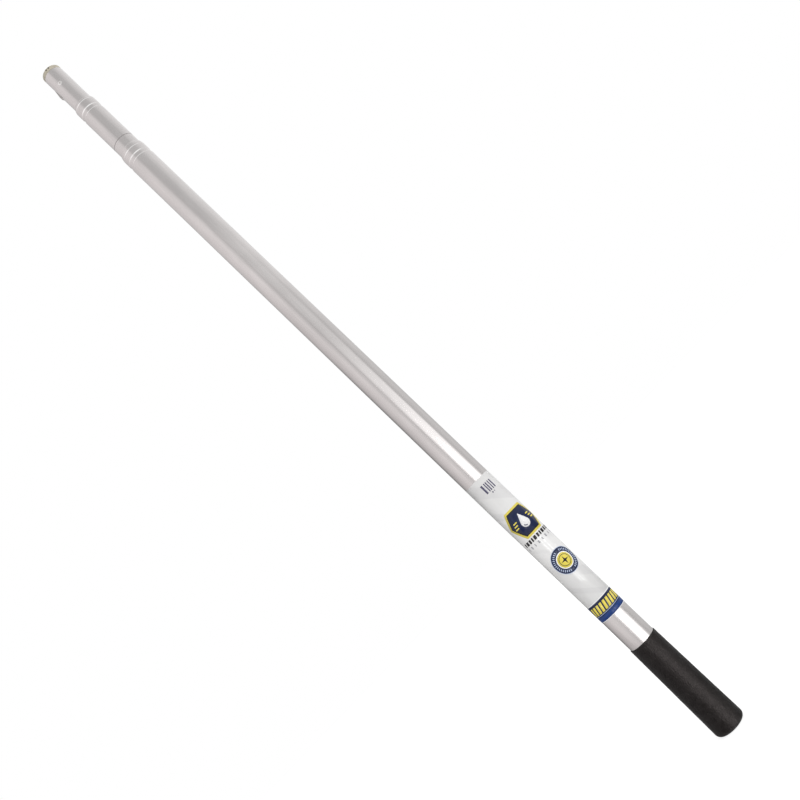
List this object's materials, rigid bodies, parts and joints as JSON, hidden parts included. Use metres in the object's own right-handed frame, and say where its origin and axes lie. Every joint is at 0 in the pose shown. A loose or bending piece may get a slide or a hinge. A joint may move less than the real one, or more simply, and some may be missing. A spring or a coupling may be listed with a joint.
{
  "type": "window cleaning pole system",
  "caption": "Telescopic aluminium hand pole, shown closed, with twist locks, a black closed-end grip, a printed label and a plugged tip with a snap button for a tool.",
  "frame": {"origin": "centre of the grip's lower end, on the pole's axis", "axes": "+Z along the pole from the grip to the tip, -X towards the snap button, -Y towards the label's front"},
  "size_m": [0.0362, 0.0362, 1.0539],
  "materials": {
    "tube_aluminium": "satin drawn",
    "grip_rubber": "satin",
    "label_print": "gloss printed film",
    "tip_plastic": "satin moulded",
    "plug_nylon": "satin moulded",
    "lock_nylon": "matt moulded",
    "bright_steel": "zinc plated"
  },
  "bodies": {
    "outer_section": {"outer_tube": "tube_aluminium", "grip": "grip_rubber", "butt_plug": "plug_nylon", "label": "label_print"},
    "middle_slider": {"middle_guide_disc": "plug_nylon"},
    "middle_section": {"middle_tube": "tube_aluminium", "middle_cam_plug": "plug_nylon", "middle_plug_pin": "bright_steel", "middle_washer": "bright_steel", "middle_screw": "bright_steel"},
    "middle_lock": {"middle_cam_ring": "lock_nylon"},
    "tip_slider": {"inner_guide_disc": "plug_nylon"},
    "tip_section": {"inner_tube": "tube_aluminium", "inner_cam_plug": "plug_nylon", "inner_plug_pin": "bright_steel", "inner_washer": "bright_steel", "inner_screw": "bright_steel", "tip_plug": "tip_plastic", "tip_rivet": "bright_steel", "snap_spring": "bright_steel"},
    "tip_lock": {"inner_cam_ring": "lock_nylon"},
    "tool_button": {"snap_button": "bright_steel"}
  },
  "joints": [
    {"name": "middle_slide", "type": "slide", "parent": "outer_section", "child": "middle_slider", "axis": [0, 0, 1], "range_m": [0, 0.8]},
    {"name": "middle_twist", "type": "hinge", "parent": "middle_slider", "child": "middle_section", "pos_m": [0, 0, 0.0875], "axis": [0, 0, 1], "range_deg": [-35, 35]},
    {"name": "middle_lock_turn", "type": "hinge", "parent": "middle_section", "child": "middle_lock", "pos_m": [0.0006, 0, 0.0725], "axis": [0, 0, 1], "range_deg": [-35, 35]},
    {"name": "tip_slide", "type": "slide", "parent": "middle_section", "child": "tip_slider", "axis": [0, 0, 1], "range_m": [0, 0.83]},
    {"name": "tip_twist", "type": "hinge", "parent": "tip_slider", "child": "tip_section", "pos_m": [0, 0, 0.1435], "axis": [0, 0, 1], "range_deg": [-35, 35]},
    {"name": "tip_lock_turn", "type": "hinge", "parent": "tip_section", "child": "tip_lock", "pos_m": [0.0006, 0, 0.1332], "axis": [0, 0, 1], "range_deg": [-35, 35]},
    {"name": "button_press", "type": "slide", "parent": "tip_section", "child": "tool_button", "axis": [1, 0, 0], "range_m": [0, 0.0016], "stiffness_N_per_m": 600, "springref_m": -0.004, "deforming": ["snap_spring"]}
  ],
  "couplings": [
    {"joint": "middle_lock_turn", "follows": "middle_twist", "ratio": -1},
    {"joint": "tip_lock_turn", "follows": "tip_twist", "ratio": -1}
  ]
}
